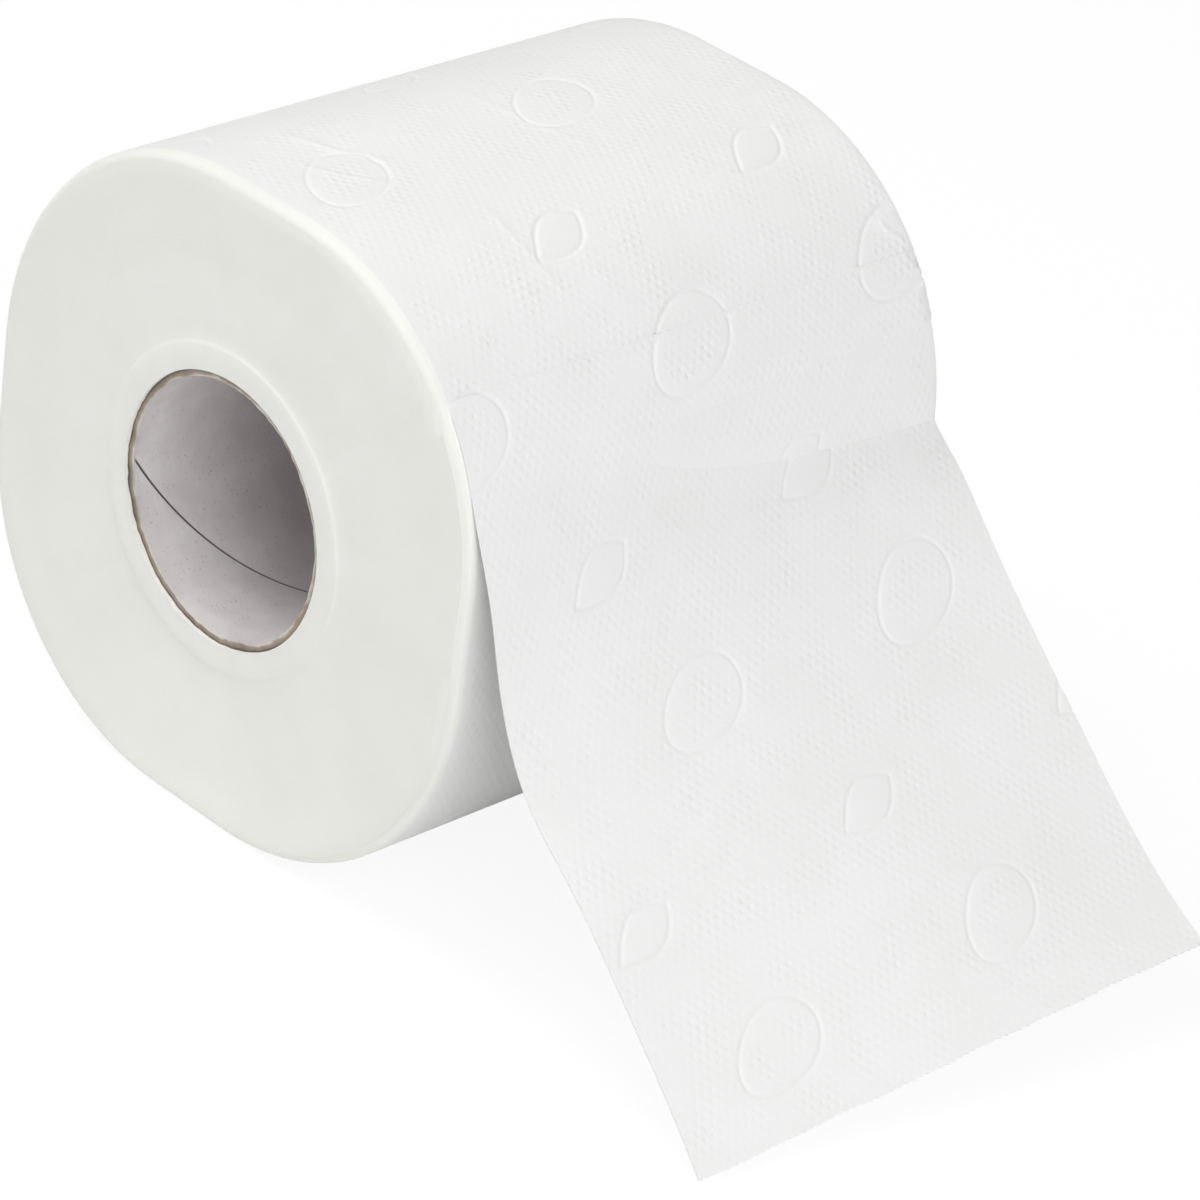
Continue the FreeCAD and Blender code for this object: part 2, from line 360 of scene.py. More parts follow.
def outline_distance(points, outline):
    """Signed distance from points to a closed outline, below zero inside."""
    nearest = np.full(len(points), np.inf)
    inside = np.zeros(len(points), bool)
    for first, last in zip(outline, np.roll(outline, -1, 0)):
        run = last - first
        share = np.clip(((points - first) @ run) / (run @ run), 0, 1)
        gap = np.hypot(*(points - first - share[:, None] * run).T)
        nearest = np.minimum(nearest, gap)
        crosses = (first[1] > points[:, 1]) != (last[1] > points[:, 1])
        reach = first[0] + (points[:, 1] - first[1]) * run[0] / (run[1] if run[1] else 1e-9)
        inside ^= crosses & (points[:, 0] < reach)
    return np.where(inside, -nearest, nearest)


def emboss(points, shapes):
    """Height of the embossing at points on the web, and how far the fine dots show there."""
    height = np.zeros(len(points))
    dots = np.ones(len(points))
    for kind, outline in shapes:
        low = outline.min(0) - OUTLINE_REACH
        high = outline.max(0) + OUTLINE_REACH
        near = np.nonzero(((points > low) & (points < high)).all(1))[0]
        if not len(near):
            continue
        gap = outline_distance(points[near], outline)
        height[near] -= GROOVE_DEPTH * np.exp(-(gap / GROOVE_HALF) ** 2)
        height[near] += PUFF * ease(-gap, 0.3, 2.6)
        plain = ease(-gap, -0.9, 0.1)
        if kind == "oval":
            plain = plain * (1 - 0.75 * ease(-gap, 1.6, 2.4))
        dots[near] = np.minimum(dots[near], 1 - plain)
        if kind == "oval":
            dots[near] += DOTS_IN_OVALS * ease(-gap, 1.6, 2.4)
    nearest_line = np.rint(points[:, 0] / SHEET_LENGTH) * SHEET_LENGTH
    gap = points[:, 0] - nearest_line
    slit = 0.5 + 0.5 * np.sign(np.sin(points[:, 1] * 2 * math.pi / SLIT_PITCH) + 0.35)
    at_line = np.where(nearest_line > 0, np.exp(-(gap / PERFORATION_HALF) ** 2), 0)
    height -= PERFORATION_DEPTH * at_line * (0.35 + 0.65 * slit)
    return height, dots


# Creases where the web is pulled tight over the roll: start, middle, end, height and half width of each
CREASES = (
    ((155.2, -21.4), (142.5, -24.5), (129.5, -19.5), 0.08, 0.55),
    ((189.5, 1.3), (171.0, 0.5), (152.3, 7.1), 0.07, 0.7),
    ((187.5, -33.4), (175.0, -33.5), (166.5, -24.8), 0.14, 0.5),
    ((177.9, -39.8), (168.0, -38.0), (160.9, -29.6), 0.09, 0.6),
    ((128.0, 45.5), (125.5, 44.0), (123.0, 49.0), 0.20, 0.5),
)


def creases(points):
    """Height of the few creases where the web is pulled tight over the roll."""
    height = np.zeros(len(points))
    for first, middle, last, rise, half in CREASES:
        share = np.linspace(0, 1, 17)[:, None]
        bow = (1 - share) ** 2 * np.array(first) + 2 * share * (1 - share) * np.array(middle)
        bow = bow + share ** 2 * np.array(last)
        near = np.nonzero((np.abs(points - bow.mean(0)) < 30).all(1))[0]
        nearest = np.full(len(near), np.inf)
        along = np.zeros(len(near))
        for step in range(len(bow) - 1):
            run = bow[step + 1] - bow[step]
            part = np.clip(((points[near] - bow[step]) @ run) / (run @ run), 0, 1)
            gap = np.hypot(*(points[near] - bow[step] - part[:, None] * run).T)
            closer = gap < nearest
            nearest = np.where(closer, gap, nearest)
            along = np.where(closer, (step + part) / (len(bow) - 1), along)
        fade = ease(along, 0, 0.35) * (1 - ease(along, 0.75, 1))
        height[near] += rise * fade * np.exp(-(nearest / half) ** 2)
    return height


def near_emboss(shapes, creased):
    """A test for faces that need fine mesh: near an outline, a perforation or a crease."""
    def test(points):
        wanted = np.zeros(len(points), bool)
        for _, outline in shapes:
            low = outline.min(0) - OUTLINE_REACH
            high = outline.max(0) + OUTLINE_REACH
            near = np.nonzero(((points > low) & (points < high)).all(1))[0]
            if len(near):
                wanted[near] |= np.abs(outline_distance(points[near], outline)) < FINE_BY_OUTLINE
        gap = np.abs(points[:, 0] - np.rint(points[:, 0] / SHEET_LENGTH) * SHEET_LENGTH)
        wanted |= (gap < FINE_BY_PERFORATION) & (points[:, 0] > SHEET_LENGTH / 2)
        if creased:
            wanted |= creases(points) > FINE_BY_CREASE
        return wanted
    return test


# Materials

def new_material(name):
    """An empty node material: (material, add a node, join two sockets, principled shader)."""
    material = bpy.data.materials.new(name)
    material.use_nodes = True
    tree = material.node_tree
    tree.nodes.clear()

    def add(kind, **settings):
        node = tree.nodes.new("ShaderNode" + kind)
        for key, value in settings.items():
            setattr(node, key, value)
        return node

    def join(output, target):
        tree.links.new(output, target)

    shader = add("BsdfPrincipled")
    finish = add("OutputMaterial")
    join(shader.outputs["BSDF"], finish.inputs["Surface"])
    return material, add, join, shader


def maths(add, join, first, last, operation="ADD"):
    """A maths node on two sockets or numbers."""
    node = add("Math", operation=operation)
    for index, value in enumerate((first, last)):
        if isinstance(value, (int, float)):
            node.inputs[index].default_value = value
        else:
            join(value, node.inputs[index])
    return node.outputs[0]


def noise_on(add, join, place, scale, detail, roughness=0.5):
    """A noise texture on this place."""
    noise = add("TexNoise")
    noise.inputs["Scale"].default_value = scale
    noise.inputs["Detail"].default_value = detail
    noise.inputs["Roughness"].default_value = roughness
    join(place, noise.inputs["Vector"])
    return noise.outputs["Fac"]


def ramp_on(add, join, value, stops):
    """A colour ramp with these (position, colour) stops."""
    ramp = add("ValToRGB")
    while len(ramp.color_ramp.elements) < len(stops):
        ramp.color_ramp.elements.new(0.5)
    for element, (position, colour) in zip(ramp.color_ramp.elements, stops):
        element.position = position
        element.color = (*colour, 1)
    join(value, ramp.inputs["Fac"])
    return ramp.outputs["Color"]


def mix_of(add, join, blend, share, first, last):
    """Two colours mixed, each a socket or a plain colour."""
    mixed = add("MixRGB", blend_type=blend)
    for name, value in (("Fac", share), ("Color1", first), ("Color2", last)):
        if isinstance(value, (int, float)):
            mixed.inputs[name].default_value = value
        elif isinstance(value, tuple):
            mixed.inputs[name].default_value = (*value, 1)
        else:
            join(value, mixed.inputs[name])
    return mixed.outputs["Color"]


def bump_on(add, join, height, strength, distance, below=None):
    """A bump from this height, its distance in millimetres, on top of another bump's normal."""
    bump = add("Bump")
    bump.inputs["Strength"].default_value = strength
    bump.inputs["Distance"].default_value = distance * MM
    join(height, bump.inputs["Height"])
    if below is not None:
        join(below, bump.inputs["Normal"])
    return bump.outputs["Normal"]


def tissue_material():
    """Soft white tissue: fine dots between the embossed shapes, fibres, turns' edges on the ends, and a
    painted warm shade over the ends.
    """
    material, add, join, shader = new_material("embossed_tissue")
    shader.inputs["Roughness"].default_value = 0.92
    shader.inputs["Specular IOR Level"].default_value = 0.2
    shader.inputs["Sheen Weight"].default_value = 0.06
    shader.inputs["Sheen Roughness"].default_value = 0.5
    web = add("Attribute", attribute_name="web_place").outputs["Vector"]
    dots_here = add("Attribute", attribute_name="dots").outputs["Fac"]
    end_here = add("Attribute", attribute_name="end_face").outputs["Fac"]
    ring_place = add("Attribute", attribute_name="ring_place").outputs["Vector"]

    # Three rows of waves that cross make the dots, which are pressed unevenly and fade at smooth places
    waves = []
    for row_turn in (0, 60, -60):
        turn = DOT_TURN + math.radians(row_turn)
        facing = add("VectorMath", operation="DOT_PRODUCT")
        join(web, facing.inputs[0])
        facing.inputs[1].default_value = (math.cos(turn), math.sin(turn), 0)
        turns = maths(add, join, facing.outputs["Value"], 2 * math.pi / DOT_ROWS, "MULTIPLY")
        waves.append(maths(add, join, turns, 0.0, "COSINE"))
    rows = maths(add, join, maths(add, join, waves[0], waves[1]), waves[2])
    bumps = maths(add, join, maths(add, join, rows, 1.5), 4.5, "DIVIDE")
    rounded = maths(add, join, bumps, 1.6, "POWER")
    uneven = noise_on(add, join, web, 0.16, 3)
    strength = maths(add, join, uneven, 3.0, "POWER")
    strength = maths(add, join, strength, 5.6, "MULTIPLY")
    dotted = maths(add, join, rounded, strength, "MULTIPLY")
    dotted = maths(add, join, dotted, dots_here, "MULTIPLY")

    fibres = noise_on(add, join, web, 2.4, 4, 0.65)
    rings = noise_on(add, join, ring_place, 1.0, 3, 0.6)
    ring_height = maths(add, join, rings, end_here, "MULTIPLY")
    normal = bump_on(add, join, dotted, 0.42, 0.14)
    normal = bump_on(add, join, fibres, 0.35, 0.12, normal)
    normal = bump_on(add, join, ring_height, 0.4, 0.05, normal)
    join(normal, shader.inputs["Normal"])

    cloudy = noise_on(add, join, web, 0.05, 3)
    tint = ramp_on(add, join, cloudy, TISSUE_TINTS)
    # The ends get a yellower, slightly darker tone: painted warm shade
    tint = mix_of(add, join, "MULTIPLY", end_here, tint, END_PAINTED_WARM_SHADE)
    join(tint, shader.inputs["Base Color"])
    return material


def board_material():
    """Grey recycled board: mottled fibres and specks, a dark seam line, and browner, torn cut edges with a
    painted shadow line where they meet the paper.
    """
    material, add, join, shader = new_material("grey_board")
    shader.inputs["Roughness"].default_value = 0.85
    shader.inputs["Specular IOR Level"].default_value = 0.25
    place = add("TexCoord").outputs["Object"]

    mottle = noise_on(add, join, place, 190, 6)
    board = ramp_on(add, join, mottle, BOARD_MOTTLE)
    flecks = noise_on(add, join, place, 2300, 2)
    fleck_colour = ramp_on(add, join, flecks, BOARD_FLECKS)
    board = mix_of(add, join, "MULTIPLY", 1.0, board, fleck_colour)
    seam = add("Attribute", attribute_name="seam")
    board = mix_of(add, join, "MIX", seam.outputs["Fac"], board, SEAM_COLOUR)

    # Across a cut end: pale torn fibres inside, tan plies, and a painted shadow line in the gap against the
    # paper
    ply = add("Attribute", attribute_name="ply_depth")
    clumps = noise_on(add, join, place, 330, 4)
    uneven = maths(add, join, maths(add, join, clumps, 0.5, "SUBTRACT"), 1.1, "MULTIPLY")
    across = maths(add, join, ply.outputs["Fac"], uneven)
    torn = ramp_on(add, join, across, CUT_PLIES_AND_GAP_SHADOW)
    cut = add("Attribute", attribute_name="cut_edge")
    board = mix_of(add, join, "MIX", cut.outputs["Fac"], board, torn)
    join(board, shader.inputs["Base Color"])

    rough = bump_on(add, join, mottle, 0.3, 0.12)
    join(bump_on(add, join, flecks, 0.3, 0.04, rough), shader.inputs["Normal"])
    return material


def floor_material():
    """Pale floor that shows white to the camera and keeps a soft shadow."""
    material, add, join, shader = new_material("pale_floor")
    shader.inputs["Base Color"].default_value = (FLOOR_SHADE, FLOOR_SHADE, FLOOR_SHADE, 1)
    shader.inputs["Roughness"].default_value = 0.9
    shader.inputs["Specular IOR Level"].default_value = 0.1
    glow = add("Emission")
    glow.inputs["Color"].default_value = (1, 1, 1, 1)
    glow.inputs["Strength"].default_value = FLOOR_WHITE
    rays = add("LightPath")
    seen = maths(add, join, rays.outputs["Is Camera Ray"], rays.outputs["Is Glossy Ray"], "MAXIMUM")
    seen = maths(add, join, seen, rays.outputs["Is Transmission Ray"], "MAXIMUM")
    share = maths(add, join, seen, FLOOR_GLOW, "MULTIPLY")
    mixed = add("MixShader")
    finish = next(node for node in material.node_tree.nodes if node.type == "OUTPUT_MATERIAL")
    join(share, mixed.inputs["Fac"])
    join(shader.outputs["BSDF"], mixed.inputs[1])
    join(glow.outputs["Emission"], mixed.inputs[2])
    join(mixed.outputs["Shader"], finish.inputs["Surface"])
    return material


# The turns

def turn_rows():
    """Lines of the turns' section, from the bore's front edge over the outside and back: (zone, value)."""
    bore = CORE_OUTSIDE + BORE_GAP
    hub = list(np.linspace(bore, HUB_RADIUS - 0.35, 4)) + [HUB_RADIUS - 0.12, HUB_RADIUS + 0.05]
    front = hub + list(np.linspace(HUB_RADIUS + 0.5, HALF_ACROSS - FRONT_ROUND, 14))
    inner_lip = HALF_ACROSS - 2 * LIP_ROUND
    back = hub + list(np.linspace(HUB_RADIUS + 0.5, inner_lip - 0.7, 12))
    back += [inner_lip - 0.35, inner_lip]
    front_quarter = FRONT_BEND + FRONT_ROUND * math.pi / 2
    lip_half = LIP_BEND + LIP_ROUND * math.pi
    front_edge = WEB_SHIFT - SHEET_WIDTH / 2
    front_rim = list(-np.linspace(front_quarter, FRONT_BEND, 9)[1:-1]) + [front_edge, front_edge - 0.14]
    back_rim = list(np.linspace(LIP_BEND, lip_half, 8)[1:-1])
    across = sorted(front_rim) + list(np.linspace(-FRONT_BEND + 0.4, LIP_BEND, 62)) + back_rim
    rows = [("front", value) for value in front]
    rows += [("web", value) for value in across]
    rows += [("back", value) for value in reversed(back)]
    rows += [("bore", value) for value in np.linspace(1, 0, 6)[1:]]
    return rows


def web_to_turns(along, across, lift):
    """Places on the outer turn and its rims, for distances along the outline and across, and a height."""
    place, outward = outline_at(along)
    front = across < 0
    rim = np.where(front, FRONT_ROUND, LIP_ROUND)
    bend = np.where(front, FRONT_BEND, LIP_BEND)
    over = np.clip(np.abs(across) - bend, 0, None)
    angle = over / rim
    radius = rim + lift
    rimmed = over > 0
    sink = np.where(rimmed, rim - radius * np.cos(angle), -lift)
    level = np.where(rimmed, np.sign(across) * (bend + radius * np.sin(angle)), across)
    plane = place - outward * sink[:, None]
    return np.stack((plane[:, 0], level, plane[:, 1]), 1)


def face_height(radius, angle):
    """Slow, slight waves of an end face, where bundles of turns stand a little prouder than others."""
    height = 0.05 * np.sin(radius * 0.42 + angle) + 0.03 * np.sin(radius * 0.9 - 1.3 * np.cos(angle + 1.0))
    return height * ease(radius, HUB_RADIUS + 0.3, HUB_RADIUS + 2.5)


def make_turns(tissue):
    """The wound turns: one closed skin over the outer turn, both rims, both ends and the bore."""
    rows = turn_rows()
    columns = np.linspace(0, ROUND, 239)
    columns[-2] = ROUND - JOIN_STEP
    piece = flat_grid("wound_turns", columns, np.arange(len(rows), dtype=float))
    start_along = SHEET_LENGTH - WEB_AT_RIGHT_FLAT
    shapes = motifs(SHEET_LENGTH - OVAL_LONG, SHEET_LENGTH + ROUND + OVAL_LONG)
    values = np.array([value for zone, value in rows])
    zones = np.array([zone for zone, value in rows])
    web_rows = np.nonzero(zones == "web")[0]

    def on_web(points):
        """Distance along and across the web, and whether the point lies on it."""
        across = np.interp(points[:, 1], np.arange(len(rows)), values)
        inside = (points[:, 1] >= web_rows[0]) & (points[:, 1] <= web_rows[-1])
        return np.stack((points[:, 0] + SHEET_LENGTH, across - WEB_SHIFT), 1), inside

    fine = near_emboss(shapes, True)

    def wanted(points):
        web, inside = on_web(points)
        return fine(web) & inside & (np.abs(web[:, 1]) < SHEET_WIDTH / 2 - 1.5)

    cut_finer(piece, wanted, FINE_CUTS)

    flat = places_of(piece)
    web, inside = on_web(flat)
    along = flat[:, 0] + start_along
    row = flat[:, 1]
    relief, dots = emboss(web, shapes)
    relief += creases(web)
    edge = SHEET_WIDTH / 2 - np.abs(web[:, 1])
    relief *= ease(edge, 0, 2.5)

    # The last of the turn sinks under the layer that starts the loose end, and rises again to join it
    under = ease(flat[:, 0], ROUND * 0.72, ROUND - 20) * (1 - ease(flat[:, 0], ROUND - 4, ROUND - 0.3))
    under += 0.1 * (np.abs(flat[:, 0] - ROUND + 2) < 1.9)
    on_top = 0.5 + 0.5 * np.cos((flat[:, 0] - 20) / ROUND * 2 * math.pi)
    lift = relief - LAYER_DROP * under - EDGE_DROP * on_top * (edge < -0.01) * (web[:, 1] < 0)
    places = np.zeros((len(flat), 3))
    places[inside] = web_to_turns(along[inside], web[inside, 1] + WEB_SHIFT, lift[inside])

    outline, outward = outline_at(along)
    angle = np.arctan2(outline[:, 1], outline[:, 0])
    direction = np.stack((np.cos(angle), np.sin(angle)), 1)
    radius = np.interp(row, np.arange(len(rows)), values)
    ends = (("front", -1, FRONT_ROUND, HUB_SHIFT), ("back", 1, 2 * LIP_ROUND, -HUB_SHIFT))
    for end, side, inset, proud in ends:
        rows_here = np.nonzero(zones == end)[0]
        here = (row >= rows_here[0]) & (row <= rows_here[-1])
        last_radius = HALF_ACROSS - inset
        share = np.clip((radius - HUB_RADIUS) / (last_radius - HUB_RADIUS), 0, 1)[:, None]
        hub = direction * np.minimum(radius, HUB_RADIUS)[:, None]
        plane = hub * (1 - share) + (outline - outward * inset) * share
        height = face_height(radius, angle + side)
        height += proud * (1 - ease(radius, HUB_RADIUS - 0.45, HUB_RADIUS + 0.5))
        height *= 1 - ease(radius, last_radius - 2, last_radius)
        if end == "back":
            height += (LIP_BEND - HALF_WIDTH) * ease(radius, last_radius - 0.7, last_radius)
        places[here, 0] = plane[here, 0]
        places[here, 1] = side * (HALF_WIDTH + height[here])
        places[here, 2] = plane[here, 1]
    bore_rows = np.nonzero(zones == "bore")[0]
    here = row >= bore_rows[0]
    bore = CORE_OUTSIDE + BORE_GAP
    front_level = -HALF_WIDTH - HUB_SHIFT
    back_level = HALF_WIDTH - HUB_SHIFT
    places[here, 0] = direction[here, 0] * bore
    places[here, 1] = front_level + (back_level - front_level) * radius[here]
    places[here, 2] = direction[here, 1] * bore
    places[:, 2] = np.maximum(places[:, 2], -HALF_ACROSS)
    move_to(piece, places * MM)

    end_face = np.where(inside, ease(-edge, -0.4, 0.2), 1.0)
    note_on(piece, "dots", np.where(inside, dots * ease(edge, 0.4, 2.0), 0))
    note_on(piece, "end_face", end_face)
    note_place_on(piece, "web_place", np.column_stack((web, np.zeros(len(web)))))
    turned = np.column_stack((np.where(inside, 0, radius) * 3.2, np.cos(angle) * 1.2, np.sin(angle) * 1.2))
    note_place_on(piece, "ring_place", turned)
    close_seams(piece, 0.00001)
    smooth(piece, 50)
    piece.data.materials.append(tissue)
    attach(piece, "root")
    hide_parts("wound_paper")
    return piece


# The loose sheet

def hanging_edge(stations, leave, last):
    """One edge of the loose end, from the roll down: distances from where it leaves and places (x, z)."""
    distances, headings = np.array(stations, float).T
    step = 0.5
    run = np.arange(0, last + step / 2, step)
    heading = np.interp(run, distances, headings)
    window = 17
    padded = np.pad(heading, window // 2, mode="edge")
    heading = np.convolve(padded, np.ones(window) / window, mode="valid")
    heading = np.radians(heading)
    radius = CORNER_RADII[0]
    start = outline_at(np.array([radius * leave]))[0][0]
    moves = np.stack((np.cos(heading), -np.sin(heading)), 1) * step
    places = start + np.concatenate((np.zeros((1, 2)), np.cumsum(moves, 0)[:-1]))
    return run, places


def edge_at(from_torn, stations, leave):
    """Places (x, z) along one edge of the first sheet, for distances from the torn edge."""
    along = from_torn - WEB_AT_RIGHT_FLAT
    left = CORNER_RADII[0] * leave
    run, path = hanging_edge(stations, leave, left + WEB_AT_RIGHT_FLAT)
    place = outline_at(along)[0]
    free = along < left
    down = left - along[free]
    place[free, 0] = np.interp(down, run, path[:, 0])
    place[free, 1] = np.interp(down, run, path[:, 1])
    return place


def sheet_places(from_torn, across, lift):
    """Places on the loose sheet, for distances from the torn edge, across the web, and a height."""
    def surface(torn, over):
        near = edge_at(torn, NEAR_HEADINGS, NEAR_LEAVE)
        far = edge_at(torn, FAR_HEADINGS, FAR_LEAVE)
        share = over / SHEET_WIDTH + 0.5
        drift = TIP_DRIFT * (1 - np.clip(torn / FREE_LENGTH, 0, 1))
        plane = near * (1 - share)[:, None] + far * share[:, None]
        level = over + WEB_SHIFT - drift
        free = 1 - ease(torn, WAVES_FADE_FROM, FREE_LENGTH)
        wave = 0.55 * free * np.sin(over / 15.5 + torn / 34 + 0.6)
        wave += 0.35 * free * np.sin(torn / 8.7 - over / 31)
        return np.stack((plane[:, 0], level, plane[:, 1]), 1), wave

    step = 0.25
    base, wave = surface(from_torn, across)
    ahead = surface(from_torn + step, across)[0]
    beside = surface(from_torn, across + step)[0]
    normal = np.cross(beside - base, ahead - base)
    normal /= np.linalg.norm(normal, axis=1)[:, None]
    places = base + normal * (lift + wave)[:, None]

    # Towards the roll its edges bend over the rims, as those of the turn below do
    along = from_torn - WEB_AT_RIGHT_FLAT
    level = across + WEB_SHIFT
    curled = web_to_turns(along, level, lift)
    plain = web_to_turns(along, level, lift * 0)
    straight, outward = outline_at(along)
    unrolled = np.stack((straight[:, 0], level, straight[:, 1]), 1)
    curl = plain - unrolled
    sink = -(curl[:, 0] * outward[:, 0] + curl[:, 2] * outward[:, 1])
    share = ease(from_torn, RIMS_FROM, ON_ROLL_FROM)
    places = places - normal * (sink * share)[:, None]
    places[:, 1] += curl[:, 1] * share
    on_roll = from_torn > ON_ROLL_FROM
    places[on_roll] = curled[on_roll]
    return places


def torn_edge(across):
    """How far the torn edge stands in from the perforation: small teeth, uneven in size."""
    teeth = 0.22 * np.abs(np.sin(across * math.pi / 1.35 + 0.8 * np.sin(across / 6.1)))
    return teeth + 0.16 * np.sin(across / 2.9) * np.sin(across / 7.7 + 1) + 0.16


def make_sheet(tissue):
    """The first sheet: embossed flat, given its two plies' thickness, and hung off the roll."""
    columns = np.linspace(0, SHEET_LENGTH, 81)
    rows = np.linspace(-SHEET_WIDTH / 2, SHEET_WIDTH / 2, 68)
    piece = flat_grid("loose_sheet", columns, rows)
    shapes = motifs(-OVAL_LONG, SHEET_LENGTH + OVAL_LONG)
    fine = near_emboss(shapes, False)
    cut_finer(piece, lambda points: fine(points[:, :2]) | (points[:, 0] < 1.5), FINE_CUTS)
    thick = piece.modifiers.new("plies", "SOLIDIFY")
    thick.thickness = PLY
    thick.offset = -1
    take(piece)
    bpy.ops.object.modifier_apply(modifier=thick.name)

    flat = places_of(piece)
    web = flat[:, :2].copy()
    relief, dots = emboss(web, shapes)
    relief += creases(web)
    edge = SHEET_WIDTH / 2 - np.abs(web[:, 1])
    torn = np.clip(1 - web[:, 0] / 1.5, 0, 1)
    from_torn = web[:, 0] + torn * torn_edge(web[:, 1])
    places = sheet_places(from_torn, web[:, 1], flat[:, 2] + relief)
    places[:, 2] = np.maximum(places[:, 2], -HALF_ACROSS)
    move_to(piece, places * MM)
    note_on(piece, "dots", dots)
    note_on(piece, "end_face", np.zeros(len(web)))
    note_place_on(piece, "web_place", np.column_stack((web, np.zeros(len(web)))))
    note_place_on(piece, "ring_place", np.zeros((len(web), 3)))
    smooth(piece, 60)
    piece.data.materials.append(tissue)
    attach(piece, "root")
    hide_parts("wound_paper")
    return piece


# The core

def ragged(turn, seed, knots):
    """Uneven values round a cut edge, from -1 to 1: random at its knots and straight between them."""
    values = np.random.default_rng(seed).uniform(-1, 1, knots)
    values = np.append(values, values[0])
    share = np.mod(turn / (2 * math.pi), 1) * knots
    return np.interp(share, np.arange(knots + 1), values)


def cut_seam(piece, spots, aside):
    """Cut the flat board along both borders of the seam and of its soft shoulders."""
    take(piece)
    bpy.ops.object.mode_set(mode="EDIT")
    for spot in spots:
        for offset in (-SEAM_SHOULDER, -SEAM_HALF, SEAM_HALF, SEAM_SHOULDER):
            bpy.ops.mesh.select_all(action="SELECT")
            bpy.ops.mesh.bisect(plane_co=spot + aside * offset, plane_no=aside)
    bpy.ops.mesh.select_all(action="DESELECT")
    bpy.ops.object.mode_set(mode="OBJECT")


def split_ends(piece, wall):
    """Open each cut end between the board's plies."""
    take(piece)
    bpy.ops.object.mode_set(mode="EDIT")
    bpy.ops.mesh.select_mode(type="FACE")
    for side in (-1, 1):
        bpy.ops.mesh.select_all(action="DESELECT")
        mesh = bmesh.from_edit_mesh(piece.data)
        for face in mesh.faces:
            if face.normal.y * side > 0.9:
                face.select_set(True)
        bmesh.update_edit_mesh(piece.data)
        bpy.ops.mesh.inset(thickness=wall * 0.34, use_boundary=True)
        bpy.ops.transform.translate(value=(0, -side * 0.25, 0))
    bpy.ops.object.mode_set(mode="OBJECT")


def make_core(board):
    """The cardboard tube: a flat board with its seam and split cut edges, rolled up."""
    wall = CORE_OUTSIDE - CORE_INSIDE
    girth = 2 * math.pi * CORE_INSIDE
    columns = np.linspace(0, girth, 361)
    middle_rows = np.linspace(0.9 - HALF_WIDTH, HALF_WIDTH - 0.9, 26)
    rows = np.concatenate(([-HALF_WIDTH, 0.3 - HALF_WIDTH], middle_rows, [HALF_WIDTH - 0.3, HALF_WIDTH]))
    piece = flat_grid("cardboard_core", columns, rows)

    # The inner ply's seam is a helix, so it is a straight line on the flat board
    onward = Vector((1, SEAM_RISE, 0)).normalized()
    aside = Vector((-onward.y, onward.x, 0))
    first = SEAM_START * CORE_INSIDE
    spots = [Vector((first - lap * girth, -HALF_WIDTH, 0)) for lap in (0, 1)]
    cut_seam(piece, spots, aside)

    thick = piece.modifiers.new("plies", "SOLIDIFY")
    thick.thickness = wall
    thick.offset = -1
    take(piece)
    bpy.ops.object.modifier_apply(modifier=thick.name)
    split_ends(piece, wall)

    flat = places_of(piece)
    depth = -flat[:, 2]
    beside = np.full(len(flat), np.inf)
    for spot in spots:
        gap = np.abs((flat[:, 0] - spot.x) * aside.x + (flat[:, 1] - spot.y) * aside.y)
        beside = np.minimum(beside, gap)
    from_end = HALF_WIDTH - np.abs(flat[:, 1])
    seam = 1 - ease(beside, SEAM_HALF + 0.02, SEAM_SHOULDER - 0.02)
    seam *= (depth < 0.02) * ease(from_end, 0.2, 1.5)
    turn = math.pi / 2 + flat[:, 0] / CORE_INSIDE
    end = np.sign(flat[:, 1])
    near_end = 1 - ease(from_end, 0.1, 0.9)
    tears = 0.5 * ragged(turn, 3, 150) + 0.3 * ragged(turn + end, 4, 60) + 0.4 * ragged(turn - end, 5, 17)
    level = flat[:, 1] - end * near_end * (0.3 + 0.24 * tears)
    inward = (1 - ease(depth, 0.0, 0.5)) * near_end * (0.16 + 0.16 * ragged(turn + 2 * end, 6, 23))
    radius = CORE_INSIDE + depth - inward + 0.18 * seam
    places = np.stack((radius * np.cos(turn), level, radius * np.sin(turn)), 1)
    move_to(piece, places * MM)
    note_on(piece, "seam", seam)
    note_on(piece, "cut_edge", 1 - ease(from_end, 0.16, 0.50))
    note_on(piece, "ply_depth", np.clip(depth / wall, 0, 1))
    close_seams(piece, 0.00001)
    smooth(piece, 40)
    piece.data.materials.append(board)
    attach(piece, "root")
    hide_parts("core_tube")
    return piece


# Stage

def add_floor():
    """A pale floor under the roll."""
    let_go()
    bpy.ops.mesh.primitive_plane_add(size=6, location=(0, 0, 0))
    floor = bpy.context.object
    floor.name = "floor"
    places = places_of(floor)
    places[:, 2] = paper_low.z
    move_to(floor, places)
    floor.data.materials.append(floor_material())


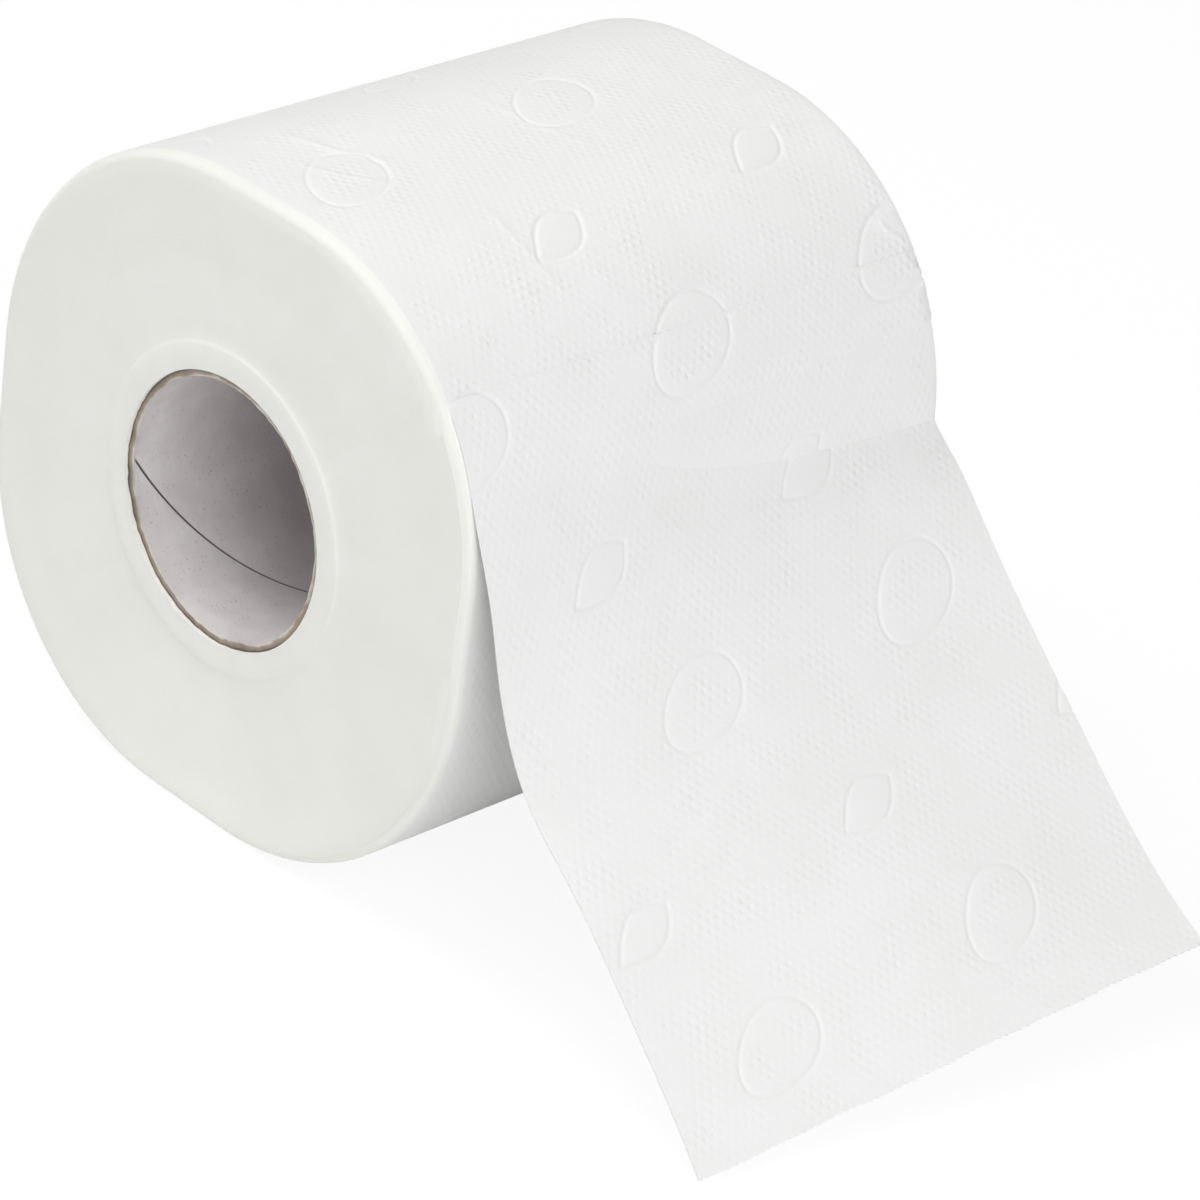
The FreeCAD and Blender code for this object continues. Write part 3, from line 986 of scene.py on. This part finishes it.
def add_lamps():
    """A pale world and soft lamps, each as bright as its share of plain white light."""
    for name, direction, share, colour in LAMPS:
        light = bpy.data.lights.new(name, "AREA")
        light.shape = "SQUARE"
        light.size = LAMP_WIDTH
        light.color = colour
        light.energy = share * math.pi ** 2 * LAMP_DISTANCE ** 2
        lamp = bpy.data.objects.new(name, light)
        bpy.context.scene.collection.objects.link(lamp)
        away = Vector(direction).normalized()
        lamp.location = away * LAMP_DISTANCE
        lamp.rotation_euler = away.to_track_quat("Z", "Y").to_euler()

    world = bpy.data.worlds.new("pale_room")
    bpy.context.scene.world = world
    world.use_nodes = True
    tree = world.node_tree
    tree.nodes.clear()
    finish = tree.nodes.new("ShaderNodeOutputWorld")
    room = tree.nodes.new("ShaderNodeBackground")
    room.inputs["Color"].default_value = (1, 1, 1, 1)
    room.inputs["Strength"].default_value = WORLD_STRENGTH
    seen = tree.nodes.new("ShaderNodeBackground")
    seen.inputs["Color"].default_value = (1, 1, 1, 1)
    seen.inputs["Strength"].default_value = 1
    rays = tree.nodes.new("ShaderNodeLightPath")
    either = tree.nodes.new("ShaderNodeMath")
    either.operation = "MAXIMUM"
    mixed = tree.nodes.new("ShaderNodeMixShader")
    tree.links.new(rays.outputs["Is Camera Ray"], either.inputs[0])
    tree.links.new(rays.outputs["Is Glossy Ray"], either.inputs[1])
    tree.links.new(either.outputs[0], mixed.inputs["Fac"])
    tree.links.new(room.outputs["Background"], mixed.inputs[1])
    tree.links.new(seen.outputs["Background"], mixed.inputs[2])
    tree.links.new(mixed.outputs["Shader"], finish.inputs["Surface"])


def add_camera():
    """The camera at the photograph's place."""
    lens = bpy.data.cameras.new("camera")
    lens.lens = CAMERA_LENS
    lens.sensor_width = CAMERA_SENSOR
    lens.sensor_fit = "HORIZONTAL"
    lens.clip_end = 20
    camera = bpy.data.objects.new("camera", lens)
    bpy.context.scene.collection.objects.link(camera)
    level = math.cos(CAMERA_ELEVATION)
    sideways = -math.sin(CAMERA_AZIMUTH) * level
    onward = math.cos(CAMERA_AZIMUTH) * level
    view = Vector((sideways, onward, -math.sin(CAMERA_ELEVATION)))
    side = Vector((math.cos(CAMERA_AZIMUTH), math.sin(CAMERA_AZIMUTH), 0))
    above = side.cross(view)
    right = side * math.cos(CAMERA_ROLL) + above * math.sin(CAMERA_ROLL)
    up = above * math.cos(CAMERA_ROLL) - side * math.sin(CAMERA_ROLL)
    turn = Matrix((right, up, -view)).transposed().to_4x4()
    place = Vector(CAMERA_AIM) * MM - view * CAMERA_DISTANCE * MM
    camera.matrix_world = Matrix.Translation(place) @ turn
    bpy.context.scene.camera = camera


add_camera()
add_floor()
add_lamps()
bpy.context.scene.view_settings.view_transform = "Standard"

tissue = tissue_material()
board = board_material()
make_turns(tissue)
make_sheet(tissue)
make_core(board)

let_go()
